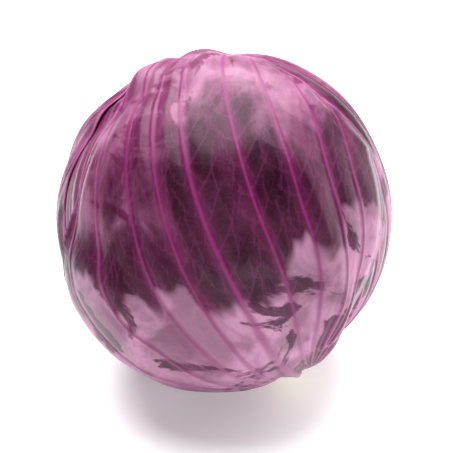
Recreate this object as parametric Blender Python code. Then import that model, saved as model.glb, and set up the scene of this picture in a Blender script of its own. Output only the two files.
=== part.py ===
# Red cabbage: a trimmed head of five wrapper leaves folded over a firm heart, with its cut stump.
# The head leans over and rests on a small pressed spot of one wrapper leaf.
# Lengths are in metres. Angles are in degrees, and a name that ends in _rad holds radians.
#
# The head frame has the stump at -Z, the apex at +Z and the middle of the head at its origin.
# A place on a leaf is (u, reach): u runs across the leaf, -1 and 1 at its side margins and 0 on the
# midrib, and reach is the angle from the stump over the side of the head, 180 at the apex.

import math
from dataclasses import dataclass

import bmesh
import bpy
import numpy as np
from mathutils import Matrix, Vector

# Driving sizes of the head
HEART_RADIUS = 0.0479
HEART_LUMP = 0.0006
BASE_FLATTENING = 0.035
CROWN_FLATTENING = 0.09  # lowers the apex, where the tips of the leaves lie on top of each other
BLADE = 0.0009
AIR = 0.0012
LAYER_STEP = BLADE + AIR

# How the head lies
LEAN = 32.0
LEAN_TOWARDS = 144.0
FACE_RAISE = 30.0
SEAT_ANGLE = 13.5
SEAT_TRIM = 0.0002

# Where a leaf starts, and how its outline rounds over
BASE_REACH = 14.0
SHOULDER_REACH = 104.0
ARCH_POWER = 3.0
TIP_SPREAD = 0.42
PINCH_REACH = 55.0
MARGIN_WAVE = 2.2

# How a leaf lies on the ones below it: the bed rises over RAMP degrees and is at its height LEDGE
# degrees outside a deeper leaf's margin. A margin stands up by MARGIN_LIFT, fading over LIFT_BAND.
RAMP = 11.0
LEDGE = 5.5
MARGIN_LIFT = 0.0009
LIFT_BAND = 8.0
LIFT_START = 30.0
BUMP_SHARE = 0.45
ROOM_SLOPE = 0.00025

# Ribs, as (height, half width) at the base and at the tip
MIDRIB_BASE = (0.0023, 0.0042)
MIDRIB_TIP = (0.0004, 0.0008)
MIDRIB_FADE = 30.0
SIDE_RIB_BASE = (0.0011, 0.0013)
SIDE_RIB_TIP = (0.0003, 0.0006)
SIDE_RIB_FADE = 70.0
MIDRIB_SHARE = 0.50
STEEPNESS = 0.75
FLANK_SHARE = 0.36
WIDE_BAND = 0.24
MARGIN_COLUMN = 0.94

# Ribs of the heart: how many, half width, heights at the base and at the apex, and their twist
HEART_RIBS = 14
HEART_RIB_WIDTH = 0.0011
HEART_RIB_BASE = 0.0009
HEART_RIB_TIP = 0.0005
HEART_TWIST = 9.0

# Mesh fineness
OUTLINE_STEPS = 90
LOWER_ROWS = 8
UPPER_ROWS = 10
HEART_ROWS = 19

# Stump, a post on the head's axis whose cut face lies STUMP_CUT below the middle
STUMP_RADIUS = 0.0098
STUMP_CUT = 0.0503
STUMP_AIR = 0.0004
STUMP_CHAMFER = 0.0009
STUMP_LOBES = 5
STUMP_LOBE_DEPTH = 0.035
STUMP_SIDES = 40

LEAF_COLOUR = (0.093, 0.018, 0.048, 1.0)
HEART_COLOUR = (0.130, 0.027, 0.070, 1.0)
STUMP_COLOUR = (0.610, 0.560, 0.400, 1.0)


@dataclass
class Leaf:
    """A wrapper leaf: turn is its midrib's longitude, left and right are its half widths, tip is its
    midrib's reach, and the pinches say how far its ribs draw together towards the stump. The tip
    swings sideways by bend. The ribs are the places of the side ribs, as shares of the way from the
    midrib's flank to the margin."""

    name: str
    turn: float
    left: float
    right: float
    tip: float
    pinch_left: float
    pinch_right: float
    bend: float
    ribs_left: tuple
    ribs_right: tuple
    phase: float


# From the heart outwards, a step of nearly the golden angle apart
LEAVES = [
    Leaf(
        name="wrapper_leaf_5",
        turn=185.0,
        left=60.0,
        right=72.0,
        tip=186.0,
        pinch_left=0.25,
        pinch_right=0.3,
        bend=0.1,
        ribs_left=(0.23, 0.45, 0.66, 0.85),
        ribs_right=(0.22, 0.43, 0.63, 0.84),
        phase=0.4,
    ),
    Leaf(
        name="wrapper_leaf_4",
        turn=318.0,
        left=52.0,
        right=62.0,
        tip=194.0,
        pinch_left=0.25,
        pinch_right=0.15,
        bend=0.0,
        ribs_left=(0.25, 0.44, 0.62, 0.83),
        ribs_right=(0.24, 0.46, 0.67, 0.86),
        phase=2.1,
    ),
    Leaf(
        name="wrapper_leaf_3",
        turn=90.0,
        left=62.0,
        right=62.0,
        tip=177.0,
        pinch_left=0.15,
        pinch_right=0.25,
        bend=-0.1,
        ribs_left=(0.22, 0.41, 0.63, 0.84),
        ribs_right=(0.25, 0.45, 0.64, 0.83),
        phase=3.3,
    ),
    Leaf(
        name="wrapper_leaf_2",
        turn=228.0,
        left=62.0,
        right=84.0,
        tip=180.0,
        pinch_left=0.25,
        pinch_right=0.35,
        bend=-0.04,
        ribs_left=(0.24, 0.43, 0.65, 0.85),
        ribs_right=(0.21, 0.42, 0.61, 0.82),
        phase=5.0,
    ),
    Leaf(
        name="wrapper_leaf_1",
        turn=-7.0,
        left=76.0,
        right=77.0,
        tip=173.0,
        pinch_left=0.35,
        pinch_right=0.68,
        bend=0.33,
        ribs_left=(0.13, 0.28, 0.50, 0.75),
        ribs_right=(0.20, 0.39, 0.585, 0.74),
        phase=1.2,
    ),
]


def smoothstep(x):
    x = np.clip(x, 0.0, 1.0)
    return x * x * (3.0 - 2.0 * x)


def sin_deg(angle):
    return np.sin(np.radians(angle))


def cos_deg(angle):
    return np.cos(np.radians(angle))


def head_axes():
    """The head frame's X, Y and Z in the world: Z is the leaning axis, and X faces -Y and up."""
    axis = Vector(
        (
            math.sin(math.radians(LEAN)) * math.cos(math.radians(LEAN_TOWARDS)),
            math.sin(math.radians(LEAN)) * math.sin(math.radians(LEAN_TOWARDS)),
            math.cos(math.radians(LEAN)),
        )
    )
    facing = Vector((0.0, -math.cos(math.radians(FACE_RAISE)), math.sin(math.radians(FACE_RAISE))))
    side = axis.cross(facing).normalized()
    return side.cross(axis), side, axis


def down_in_head():
    """The world's downward direction, in the head frame."""
    return np.array([-component.z for component in head_axes()])


def heart_radius(directions):
    """Distance from the middle of the head to the heart's surface, pressed flat over the seat."""
    x, y, z = directions.T
    lumps = np.sin(2.6 * x + 1.7 * y + 0.6) + np.sin(3.1 * y - 2.2 * z + 1.9) + np.sin(2.4 * z + 2.9 * x)
    base, crown = np.clip(-z, 0.0, 1.0) ** 6, np.clip(z, 0.0, 1.0) ** 6
    flattened = 1.0 - BASE_FLATTENING * base - CROWN_FLATTENING * crown
    round_radius = HEART_RADIUS * flattened + HEART_LUMP * lumps
    seat = HEART_RADIUS * cos_deg(SEAT_ANGLE)
    downward = directions @ down_in_head()
    return np.where(downward > 0.5, np.minimum(round_radius, seat / np.maximum(downward, 0.5)), round_radius)


def rise(reach):
    """How far the upper half has curved over: 0 at the equator, 1 at the apex."""
    return 1.0 - cos_deg(reach - 90.0)


def spread_over_top(reach):
    """How wide the ribs stand on the upper half: 1 at the equator, TIP_SPREAD at the apex."""
    return 1.0 - (1.0 - TIP_SPREAD) * rise(reach)


def side_longitude(leaf, u, reach):
    """Longitude of the margin on the side of u, counted from the midrib."""
    width = np.where(u < 0.0, leaf.left, leaf.right)
    pinch = np.where(u < 0.0, leaf.pinch_left, leaf.pinch_right)
    drawn_in = 1.0 - pinch * np.exp(-(((reach - BASE_REACH) / PINCH_REACH) ** 2))
    wave = MARGIN_WAVE * np.sin(reach / 11.0 + leaf.phase + np.sign(u)) * smoothstep((reach - 40.0) / 40.0)
    return width * drawn_in + wave


def tip_reach(leaf, u):
    """Reach of the upper margin: a round arch from the shoulders to the tip, gently waved."""
    arch = 1.0 - np.clip(np.abs(u), 0.0, 1.0) ** ARCH_POWER
    wave = MARGIN_WAVE * np.sin(7.0 * u + leaf.phase)
    return SHOULDER_REACH + (leaf.tip - SHOULDER_REACH) * arch + wave * arch


def leaf_directions(leaf, u, reach):
    """Unit vectors in the head frame for places on a leaf."""
    longitude = u * side_longitude(leaf, u, reach)
    low = np.stack(
        [sin_deg(reach) * cos_deg(longitude), sin_deg(reach) * sin_deg(longitude), -cos_deg(reach)], axis=-1
    )
    across = sin_deg(longitude) * spread_over_top(reach) + leaf.bend * rise(reach)
    along = np.sqrt(1.0 - across**2)
    high = np.stack([along * sin_deg(reach), across, -along * cos_deg(reach)], axis=-1)
    local = np.where((reach < 90.0)[..., None], low, high)
    turn = np.array(Matrix.Rotation(math.radians(leaf.turn), 3, "Z"))
    return local @ turn.T


def leaf_place(leaf, directions):
    """u and reach of directions on a leaf, or on its outline carried on round the head."""
    turn = np.array(Matrix.Rotation(math.radians(leaf.turn), 3, "Z"))
    x, y, z = (directions @ turn).T
    low_reach = np.degrees(np.arccos(np.clip(-z, -1.0, 1.0)))
    low_longitude = np.degrees(np.arctan2(y, x))
    high_reach = np.degrees(np.arctan2(x, -z)) % 360.0
    across = (y - leaf.bend * rise(high_reach)) / np.maximum(spread_over_top(high_reach), 0.2)
    high_longitude = np.degrees(np.arcsin(np.clip(across, -1.0, 1.0)))
    reach = np.where(z < 0.0, low_reach, high_reach)
    longitude = np.where(z < 0.0, low_longitude, high_longitude)
    return longitude / side_longitude(leaf, longitude, reach), reach


def leaf_outline(leaf):
    """Unit vectors along the side margins and the tip of a leaf."""
    climb = np.linspace(0.0, 1.0, OUTLINE_STEPS)
    side_reach = BASE_REACH + (SHOULDER_REACH - BASE_REACH) * climb
    across = np.linspace(-1.0, 1.0, 2 * OUTLINE_STEPS)
    u = np.concatenate([np.full(OUTLINE_STEPS, -1.0), across, np.full(OUTLINE_STEPS, 1.0)])
    reach = np.concatenate([side_reach, tip_reach(leaf, across), side_reach])
    return leaf_directions(leaf, u, reach)


def depth_inside(leaf, directions):
    """Degrees on the head from the nearest margin of a leaf, negative outside the leaf."""
    u, reach = leaf_place(leaf, directions)
    nearest = np.degrees(np.arccos(np.clip((directions @ leaf_outline(leaf).T).max(axis=1), -1.0, 1.0)))
    return np.where((np.abs(u) < 1.0) & (reach < tip_reach(leaf, u)), nearest, -nearest)


def margin_lift(depth, reach):
    """How far a leaf stands off its bed near its margin, nothing at the stump."""
    return MARGIN_LIFT * (1.0 - smoothstep(depth / LIFT_BAND)) * smoothstep((reach - LIFT_START) / LIFT_START)


def bed_radius(directions, deeper):
    """Distance from the middle to the bed of a leaf: the heart and the deeper leaves under it."""
    bed = heart_radius(directions) + AIR
    for leaf in deeper:
        bed = bed + LAYER_STEP * smoothstep(1.0 + (depth_inside(leaf, directions) + LEDGE) / RAMP)
    return bed


def room_under(directions, outer):
    """How far ribs and lifted margins may stand out where outer leaves lie over them."""
    room = np.full(len(directions), 1.0)
    for leaf in outer:
        depth = depth_inside(leaf, directions)
        reach = leaf_place(leaf, directions)[1]
        outside = BUMP_SHARE * margin_lift(0.0, reach) + ROOM_SLOPE * np.maximum(-depth, 0.0)
        inside = BUMP_SHARE * margin_lift(depth, reach)
        room = np.minimum(room, np.where(depth > 0.0, inside, outside))
    return room


def fading(base, tip, reach, fade):
    """A size that falls from its base value to its tip value as the reach grows."""
    return tip + (base - tip) * np.exp(-(reach - BASE_REACH) / fade)


def leaf_columns(leaf, reach_line):
    """Across a leaf at one row: the u of each column, and the height of the rib crest there, or 0."""
    reach = np.array([reach_line])
    if reach_line < 90.0:
        arc = float(sin_deg(reach_line))
    else:
        arc = float(spread_over_top(reach_line))
    half_midrib = float(fading(MIDRIB_BASE[1], MIDRIB_TIP[1], reach_line, MIDRIB_FADE))
    half_rib = float(fading(SIDE_RIB_BASE[1], SIDE_RIB_TIP[1], reach_line, SIDE_RIB_FADE))
    midrib_height = float(fading(MIDRIB_BASE[0], MIDRIB_TIP[0], reach_line, MIDRIB_FADE))
    rib_height = float(fading(SIDE_RIB_BASE[0], SIDE_RIB_TIP[0], reach_line, SIDE_RIB_FADE))
    columns = {}
    for sign, ribs in ((-1.0, leaf.ribs_left), (1.0, leaf.ribs_right)):
        side = float(side_longitude(leaf, np.array([sign]), reach)[0])
        arc_per_u = HEART_RADIUS * math.radians(side) * arc
        flank = min(half_midrib / arc_per_u, MIDRIB_SHARE)
        midrib_height = min(midrib_height, STEEPNESS * flank * arc_per_u)
        columns[sign * flank] = 0.0
        for nearer, rib, farther in zip((0.0, *ribs), ribs, (*ribs[1:], 1.0)):
            half = min(half_rib / arc_per_u, FLANK_SHARE * (1.0 - flank) * min(rib - nearer, farther - rib))
            crest = flank + (1.0 - flank) * rib
            columns[sign * (crest - half)] = 0.0
            columns[sign * crest] = min(rib_height, STEEPNESS * half * arc_per_u)
            columns[sign * (crest + half)] = 0.0
        for nearer, farther in zip((0.0, *ribs), (*ribs, 1.0)):
            if farther - nearer > WIDE_BAND:
                columns[sign * (flank + (1.0 - flank) * (farther + nearer) / 2)] = 0.0
        columns[sign * (MARGIN_COLUMN + (1.0 - MARGIN_COLUMN) * 0.4 * flank)] = 0.0
        columns[sign] = 0.0
    columns[0.0] = midrib_height
    order = sorted(columns)
    return np.array(order), np.array([columns[u] for u in order])


def leaf_grid(leaf):
    """Arrays of u, reach and crest height, one row from the stump to the tip for each step."""
    u_rows, reach_rows, crest_rows = [], [], []
    for row in range(LOWER_ROWS + UPPER_ROWS + 1):
        climb = row / LOWER_ROWS
        upper = (row - LOWER_ROWS) / UPPER_ROWS
        if upper <= 0.0:
            line = BASE_REACH + (90.0 - BASE_REACH) * climb
        else:
            line = 90.0 + (leaf.tip - 90.0) * upper
        u, crest = leaf_columns(leaf, line)
        reach = np.full(len(u), line) if upper <= 0.0 else 90.0 + (tip_reach(leaf, u) - 90.0) * upper
        u_rows.append(u)
        reach_rows.append(reach)
        crest_rows.append(crest)
    return np.array(u_rows), np.array(reach_rows), np.array(crest_rows)


def leaf_surfaces(leaf, seat_height):
    """Points of the inner and the outer face of a leaf, as (rows, columns, 3) arrays."""
    index = LEAVES.index(leaf)
    u, reach, crest = leaf_grid(leaf)
    shape = u.shape
    directions = leaf_directions(leaf, u.ravel(), reach.ravel())
    room = room_under(directions, LEAVES[index + 1 :])
    lift = margin_lift(depth_inside(leaf, directions), reach.ravel())
    lift = np.minimum(lift, room)
    ribs = np.minimum(crest.ravel(), room - lift)
    inner = bed_radius(directions, LEAVES[:index]) + lift
    outer = inner + BLADE + ribs
    downward = np.maximum(directions @ down_in_head(), 0.5)
    outer = np.minimum(outer, seat_height / downward)
    inner = np.minimum(inner, outer - BLADE + SEAT_TRIM)
    faces = [(directions * radius[:, None]).reshape(*shape, 3) for radius in (inner, outer)]
    return faces[0], faces[1]


def leaf_mesh(inner, outer):
    """A closed blade: both faces split into the same triangles, and a rim between them."""
    mesh = bmesh.new()
    rows, columns = inner.shape[:2]
    low = [[mesh.verts.new(inner[r, c]) for c in range(columns)] for r in range(rows)]
    high = [[mesh.verts.new(outer[r, c]) for c in range(columns)] for r in range(rows)]
    for r in range(rows - 1):
        for c in range(columns - 1):
            for a, b, d in (((r, c), (r, c + 1), (r + 1, c + 1)), ((r, c), (r + 1, c + 1), (r + 1, c))):
                mesh.faces.new([high[a[0]][a[1]], high[b[0]][b[1]], high[d[0]][d[1]]])
                mesh.faces.new([low[d[0]][d[1]], low[b[0]][b[1]], low[a[0]][a[1]]])
    bottom = [(0, c) for c in range(columns)]
    right = [(r, columns - 1) for r in range(rows)]
    top = [(rows - 1, c) for c in reversed(range(columns))]
    left = [(r, 0) for r in reversed(range(rows))]
    rim = bottom + right[1:] + top[1:] + left[1:]
    for (r0, c0), (r1, c1) in zip(rim, rim[1:]):
        mesh.faces.new([low[r0][c0], low[r1][c1], high[r1][c1]])
        mesh.faces.new([low[r0][c0], high[r1][c1], high[r0][c0]])
    return mesh


def heart_mesh():
    """The closed inner head. Its ribs run from the stump to the apex and stand out where it shows."""
    mesh = bmesh.new()
    spacing = 360.0 / HEART_RIBS
    rows = []
    for reach in np.linspace(0.0, 180.0, HEART_ROWS + 1)[1:-1]:
        half = min(math.degrees(HEART_RIB_WIDTH / (HEART_RADIUS * sin_deg(reach))), spacing * FLANK_SHARE)
        middles = spacing * np.arange(HEART_RIBS) + HEART_TWIST * sin_deg(reach)
        longitude = (middles[:, None] + np.array([-half, 0.0, half])).ravel()
        height = fading(HEART_RIB_BASE, HEART_RIB_TIP, reach, SIDE_RIB_FADE)
        height = float(height * smoothstep((reach - BASE_REACH) / BASE_REACH))
        crest = np.tile([0.0, height, 0.0], HEART_RIBS)
        across = sin_deg(reach)
        directions = np.stack(
            [
                across * cos_deg(longitude),
                across * sin_deg(longitude),
                np.full(len(longitude), -cos_deg(reach)),
            ],
            axis=-1,
        )
        radius = heart_radius(directions) + np.minimum(crest, room_under(directions, LEAVES))
        rows.append([mesh.verts.new(point) for point in directions * radius[:, None]])
    ends = []
    for z in (-1.0, 1.0):
        ends.append(mesh.verts.new((0.0, 0.0, z * heart_radius(np.array([[0.0, 0.0, z]]))[0])))
    for side in range(3 * HEART_RIBS):
        following = (side + 1) % (3 * HEART_RIBS)
        mesh.faces.new([ends[0], rows[0][following], rows[0][side]])
        mesh.faces.new([ends[1], rows[-1][side], rows[-1][following]])
        for lower, upper in zip(rows, rows[1:]):
            mesh.faces.new([lower[side], lower[following], upper[following]])
            mesh.faces.new([lower[side], upper[following], upper[side]])
    return mesh


def stump_mesh():
    """The cut stalk: a short lobed post with a chamfered cut face, closed against the heart."""
    mesh = bmesh.new()
    top = float(heart_radius(np.array([[0.0, 0.0, -1.0]]))[0]) + STUMP_AIR
    profile = [
        (STUMP_RADIUS * 0.93, -top),
        (STUMP_RADIUS * 0.98, -(top + STUMP_CUT) / 2),
        (STUMP_RADIUS, -(STUMP_CUT - STUMP_CHAMFER)),
        (STUMP_RADIUS - STUMP_CHAMFER, -STUMP_CUT),
    ]
    rings = []
    for radius, height in profile:
        ring = []
        for side in range(STUMP_SIDES):
            angle = 2 * math.pi * side / STUMP_SIDES
            lobed = radius * (1.0 + STUMP_LOBE_DEPTH * math.cos(STUMP_LOBES * angle))
            ring.append(mesh.verts.new((lobed * math.cos(angle), lobed * math.sin(angle), height)))
        rings.append(ring)
    for upper, lower in zip(rings, rings[1:]):
        for side in range(STUMP_SIDES):
            following = (side + 1) % STUMP_SIDES
            mesh.faces.new([upper[side], lower[side], lower[following], upper[following]])
    mesh.faces.new(rings[0])
    mesh.faces.new(reversed(rings[-1]))
    return mesh


def material(name, colour, roughness):
    made = bpy.data.materials.new(name)
    made.use_nodes = True
    shader = made.node_tree.nodes["Principled BSDF"]
    shader.inputs["Base Color"].default_value = colour
    shader.inputs["Roughness"].default_value = roughness
    shader.inputs["Metallic"].default_value = 0.0
    made.diffuse_color = colour
    return made


def add_object(name, mesh, finish, parent, smooth_angle):
    bmesh.ops.recalc_face_normals(mesh, faces=mesh.faces)
    data = bpy.data.meshes.new(name)
    mesh.to_mesh(data)
    mesh.free()
    data.shade_smooth()
    data.set_sharp_from_angle(angle=math.radians(smooth_angle))
    data.materials.append(finish)
    made = bpy.data.objects.new(name, data)
    made.parent = parent
    bpy.context.scene.collection.objects.link(made)
    return made


def seat_height_of(leaf):
    """Distance from the middle down to the plane that the head rests on, just inside this leaf's face."""
    down = down_in_head()[None, :]
    return float(bed_radius(down, LEAVES[: LEAVES.index(leaf)])[0]) + BLADE - SEAT_TRIM


def stand_on_ground(frame, pieces):
    """Moves the head so that its seat is at height 0 and its box is centred on the origin."""
    bpy.context.view_layer.update()
    corners = [piece.matrix_world @ vertex.co for piece in pieces for vertex in piece.data.vertices]
    low = Vector(min(point[axis] for point in corners) for axis in range(3))
    high = Vector(max(point[axis] for point in corners) for axis in range(3))
    frame.location = (-(low.x + high.x) / 2, -(low.y + high.y) / 2, -low.z)


def main():
    for old in list(bpy.data.objects):
        bpy.data.objects.remove(old)
    frame = bpy.data.objects.new("head_frame", None)
    frame.rotation_euler = Matrix([list(axis) for axis in head_axes()]).transposed().to_euler()
    bpy.context.scene.collection.objects.link(frame)
    leaf_finish = material("leaf", LEAF_COLOUR, 0.38)
    heart_finish = material("heart", HEART_COLOUR, 0.45)
    stump_finish = material("stump", STUMP_COLOUR, 0.7)
    seat_height = seat_height_of(LEAVES[-2])
    pieces = [
        add_object("heart", heart_mesh(), heart_finish, frame, 60.0),
        add_object("stump", stump_mesh(), stump_finish, frame, 40.0),
    ]
    for leaf in LEAVES:
        blade = leaf_mesh(*leaf_surfaces(leaf, seat_height))
        pieces.append(add_object(leaf.name, blade, leaf_finish, frame, 35.0))
    stand_on_ground(frame, pieces)


main()
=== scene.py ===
import math

import bpy
import numpy as np
from mathutils import Matrix, Vector


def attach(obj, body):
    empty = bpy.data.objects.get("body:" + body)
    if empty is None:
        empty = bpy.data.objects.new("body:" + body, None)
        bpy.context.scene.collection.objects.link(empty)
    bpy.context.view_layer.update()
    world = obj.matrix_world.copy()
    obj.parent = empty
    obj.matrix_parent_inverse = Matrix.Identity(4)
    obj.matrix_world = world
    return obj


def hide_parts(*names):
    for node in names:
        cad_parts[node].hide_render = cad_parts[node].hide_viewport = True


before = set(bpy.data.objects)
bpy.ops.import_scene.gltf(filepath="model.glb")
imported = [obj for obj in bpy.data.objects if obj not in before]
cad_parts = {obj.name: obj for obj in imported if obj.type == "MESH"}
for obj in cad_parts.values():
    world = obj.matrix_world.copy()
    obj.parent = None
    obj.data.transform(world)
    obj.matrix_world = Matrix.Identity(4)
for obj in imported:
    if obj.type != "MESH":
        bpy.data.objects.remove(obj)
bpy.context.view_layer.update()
print("frame loaded:", ", ".join(sorted(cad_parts)))


# Node graphs: a socket whose arithmetic adds Math nodes, and one way to add any other node

class Wire:
    def __init__(self, graph, socket):
        self.graph = graph
        self.socket = socket

    def math(self, operation, *others):
        return self.graph.math(operation, self, *others)

    def __add__(self, other):
        return self.math("ADD", other)

    def __sub__(self, other):
        return self.math("SUBTRACT", other)

    def __rsub__(self, other):
        return self.graph.math("SUBTRACT", other, self)

    def __mul__(self, other):
        return self.math("MULTIPLY", other)

    __radd__ = __add__
    __rmul__ = __mul__

    def ramp(self, fromLow, fromHigh, toLow=0.0, toHigh=1.0):  # a smooth step between two values
        names = ("Value", "From Min", "From Max", "To Min", "To Max")
        sockets = dict(zip(names, (self, fromLow, fromHigh, toLow, toHigh)))
        return self.graph.add("ShaderNodeMapRange", sockets, interpolation_type="SMOOTHSTEP")

    def __getitem__(self, name):  # another output of the same node
        return Wire(self.graph, self.socket.node.outputs[name])


class Graph:
    def __init__(self, tree):
        self.tree = tree

    def add(self, kind, sockets={}, out=0, **settings):
        node = self.tree.nodes.new(kind)
        for name, value in settings.items():
            setattr(node, name, value)
        for name, value in sockets.items():
            if isinstance(value, Wire):
                self.tree.links.new(value.socket, node.inputs[name])
            else:
                node.inputs[name].default_value = value
        return Wire(self, node.outputs[out]) if len(node.outputs) else node

    def math(self, operation, *values):
        return self.add("ShaderNodeMath", dict(enumerate(values)), operation=operation)

    def mix(self, factor, a, b):  # colours, where factor 0 gives a
        sockets = {0: factor, 6: a, 7: b}
        return self.add("ShaderNodeMix", sockets, out=2, data_type="RGBA", clamp_factor=True)

    def noise(self, place, *shape):  # scale, detail, roughness and maybe distortion
        names = ("Vector", "Scale", "Detail", "Roughness", "Distortion")
        return self.add("ShaderNodeTexNoise", dict(zip(names, (place, *shape))))

    def attribute(self, name, out="Fac"):
        return self.add("ShaderNodeAttribute", out=out, attribute_name=name)

    def squeezed(self, place, scale):
        return self.add("ShaderNodeMapping", {0: place, "Scale": scale})

    def named(self, name, kind="FLOAT"):  # an attribute, in a geometry tree
        return self.add("GeometryNodeInputNamedAttribute", {"Name": name}, data_type=kind)

    def store(self, shape, name, value):
        sockets = {0: shape, "Name": name, "Value": value}
        kind = "GeometryNodeStoreNamedAttribute"
        return self.add(kind, sockets, data_type="FLOAT", domain="POINT")

    def end(self, shape, material):  # how every geometry tree here ends
        whole = self.add("GeometryNodeRealizeInstances", {0: shape})
        dressed = self.add("GeometryNodeSetMaterial", {0: whole, "Material": material})
        self.add("NodeGroupOutput", {0: dressed})
        return self.tree


# The head's form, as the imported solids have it

head = {
    "heartRadius": 0.0479,
    "heartLump": 0.0006,
    "flattening": (0.035, 0.09),  # at the base and at the apex
    "stumpCut": 0.0503,  # from the head's middle to the cut face
    "blade": 0.0009,  # thickness of a leaf
    "air": 0.0012,  # between two leaves
    "lean": 32.0,
    "leanTowards": 144.0,
    "faceRaise": 30.0,
    "seatAngle": 13.5,  # half of the flat spot's cone
    "seatTrim": 0.0002,
    "seatCone": 0.5,  # a cosine well outside that cone
    "shoulderReach": 104.0,  # where a side margin turns into the tip's arch
    "archPower": 3.0,
    "tipSpread": 0.42,
    "baseReach": 14.0,
    "pinchReach": 55.0,
    "marginWave": 2.2,  # degrees
    "marginPeriod": 11.0,
    "marginStart": 40.0,  # reach from which the margin waves
    "tipWaves": 7.0,
    "ramp": 11.0,  # degrees over which a leaf climbs on to a deeper one
    "ledge": 5.5,
    "marginLift": 0.0009,
    "liftBand": 8.0,
    "liftStart": 30.0,
    "bumpShare": 0.15,
    "roomSlope": 0.00025,
    "outlineSteps": 90,
}
degreeLength = head["heartRadius"] * math.pi / 180.0  # of one degree along the heart's surface


# Each leaf's share of bloom also sets how much painted highlight of the top light it carries
wrapperLeaves = [  # from the heart outwards
    dict(
        name="wrapper_leaf_5", turn=185.0, widths=(60.0, 72.0), tip=186.0, pinches=(0.25, 0.3),
        bend=0.1, ribs=((0.23, 0.45, 0.66, 0.85), (0.22, 0.43, 0.63, 0.84)), phase=0.4,
        grid=(150, 150), bloom=0.30,
    ),
    dict(
        name="wrapper_leaf_4", turn=318.0, widths=(52.0, 62.0), tip=194.0, pinches=(0.25, 0.15),
        bend=0.0, ribs=((0.25, 0.44, 0.62, 0.83), (0.24, 0.46, 0.67, 0.86)), phase=2.1,
        grid=(150, 140), bloom=0.28,
    ),
    dict(
        name="wrapper_leaf_3", turn=90.0, widths=(62.0, 62.0), tip=177.0, pinches=(0.15, 0.25),
        bend=-0.1, ribs=((0.22, 0.41, 0.63, 0.84), (0.25, 0.45, 0.64, 0.83)), phase=3.3,
        grid=(190, 180), bloom=0.42,
    ),
    dict(
        name="wrapper_leaf_2", turn=228.0, widths=(62.0, 84.0), tip=180.0, pinches=(0.25, 0.35),
        bend=-0.04, ribs=((0.24, 0.43, 0.65, 0.85), (0.21, 0.42, 0.61, 0.82)), phase=5.0,
        grid=(190, 190), bloom=0.42,
    ),
    dict(
        name="wrapper_leaf_1", turn=-7.0, widths=(76.0, 77.0), tip=173.0, pinches=(0.35, 0.68),
        bend=0.33, ribs=((0.13, 0.28, 0.50, 0.75), (0.20, 0.39, 0.585, 0.74)), phase=1.2,
        grid=(200, 210), bloom=0.70,
    ),
]


def smoothStep(x):
    x = np.clip(x, 0.0, 1.0)
    return x * x * (3.0 - 2.0 * x)


def fadeIn(value, start):  # 0 up to start, and 1 from twice that
    return smoothStep((value - start) / start)


def sinDeg(angle):
    return np.sin(np.radians(angle))


def cosDeg(angle):
    return np.cos(np.radians(angle))


def findAxes():  # the head frame's X, Y and Z in the world, as rows
    lean, towards = math.radians(head["lean"]), math.radians(head["leanTowards"])
    across = math.sin(lean)
    axis = Vector((across * math.cos(towards), across * math.sin(towards), math.cos(lean)))
    raised = math.radians(head["faceRaise"])
    side = axis.cross(Vector((0.0, -math.cos(raised), math.sin(raised)))).normalized()
    return np.array([side.cross(axis), side, axis])


def findMiddle(axes):  # the stump's cut face is centred on the head's axis
    points = np.array([vertex.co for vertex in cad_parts["stump"].data.vertices])
    points = np.unique(np.round(points, 6), axis=0)
    along = points @ axes[2]
    return points[along < along.min() + 1e-5].mean(axis=0) + axes[2] * head["stumpCut"]


headAxes = findAxes()
headMiddle = findMiddle(headAxes)
downInHead = -headAxes[:, 2]
print("middle of the head:", np.round(headMiddle, 5))


def heartSurface(directions):  # distance from the head's middle, pressed flat at the seat
    x, y, z = directions.T  # three slow waves that cross make the lumps
    lumps = np.sin(2.6 * x + 1.7 * y + 0.6) + np.sin(3.1 * y - 2.2 * z + 1.9) + np.sin(2.4 * z + 2.9 * x)
    base, crown = head["flattening"]
    flattened = 1.0 - base * np.clip(-z, 0.0, 1.0) ** 6 - crown * np.clip(z, 0.0, 1.0) ** 6
    roundSurface = head["heartRadius"] * flattened + head["heartLump"] * lumps
    seat = head["heartRadius"] * cosDeg(head["seatAngle"])
    downward = directions @ downInHead
    pressed = np.minimum(roundSurface, seat / np.maximum(downward, head["seatCone"]))
    return np.where(downward > head["seatCone"], pressed, roundSurface)


def rise(reach):
    return 1.0 - cosDeg(reach - 90.0)


def spreadOverTop(reach):
    return 1.0 - (1.0 - head["tipSpread"]) * rise(reach)


def sideLongitude(leaf, u, reach):
    width = np.where(u < 0.0, *leaf["widths"])
    pinch = np.where(u < 0.0, *leaf["pinches"])
    drawnIn = 1.0 - pinch * np.exp(-(((reach - head["baseReach"]) / head["pinchReach"]) ** 2))
    wave = np.sin(reach / head["marginPeriod"] + leaf["phase"] + np.sign(u))
    wave = wave * fadeIn(reach, head["marginStart"])
    return width * drawnIn + head["marginWave"] * wave


def tipReach(leaf, u):
    arch = 1.0 - np.clip(np.abs(u), 0.0, 1.0) ** head["archPower"]
    wave = head["marginWave"] * np.sin(head["tipWaves"] * u + leaf["phase"])
    return head["shoulderReach"] + (leaf["tip"] - head["shoulderReach"] + wave) * arch


def turnOf(leaf):
    return np.array(Matrix.Rotation(math.radians(leaf["turn"]), 3, "Z"))


def aroundHead(longitude, reach):
    across = sinDeg(reach)
    return np.stack([across * cosDeg(longitude), across * sinDeg(longitude), -cosDeg(reach)], axis=-1)


def leafDirections(leaf, u, reach):
    longitude = u * sideLongitude(leaf, u, reach)
    across = sinDeg(longitude) * spreadOverTop(reach) + leaf["bend"] * rise(reach)
    along = np.sqrt(1.0 - across**2)
    high = np.stack([along * sinDeg(reach), across, -along * cosDeg(reach)], axis=-1)
    return np.where((reach < 90.0)[..., None], aroundHead(longitude, reach), high) @ turnOf(leaf).T


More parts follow.
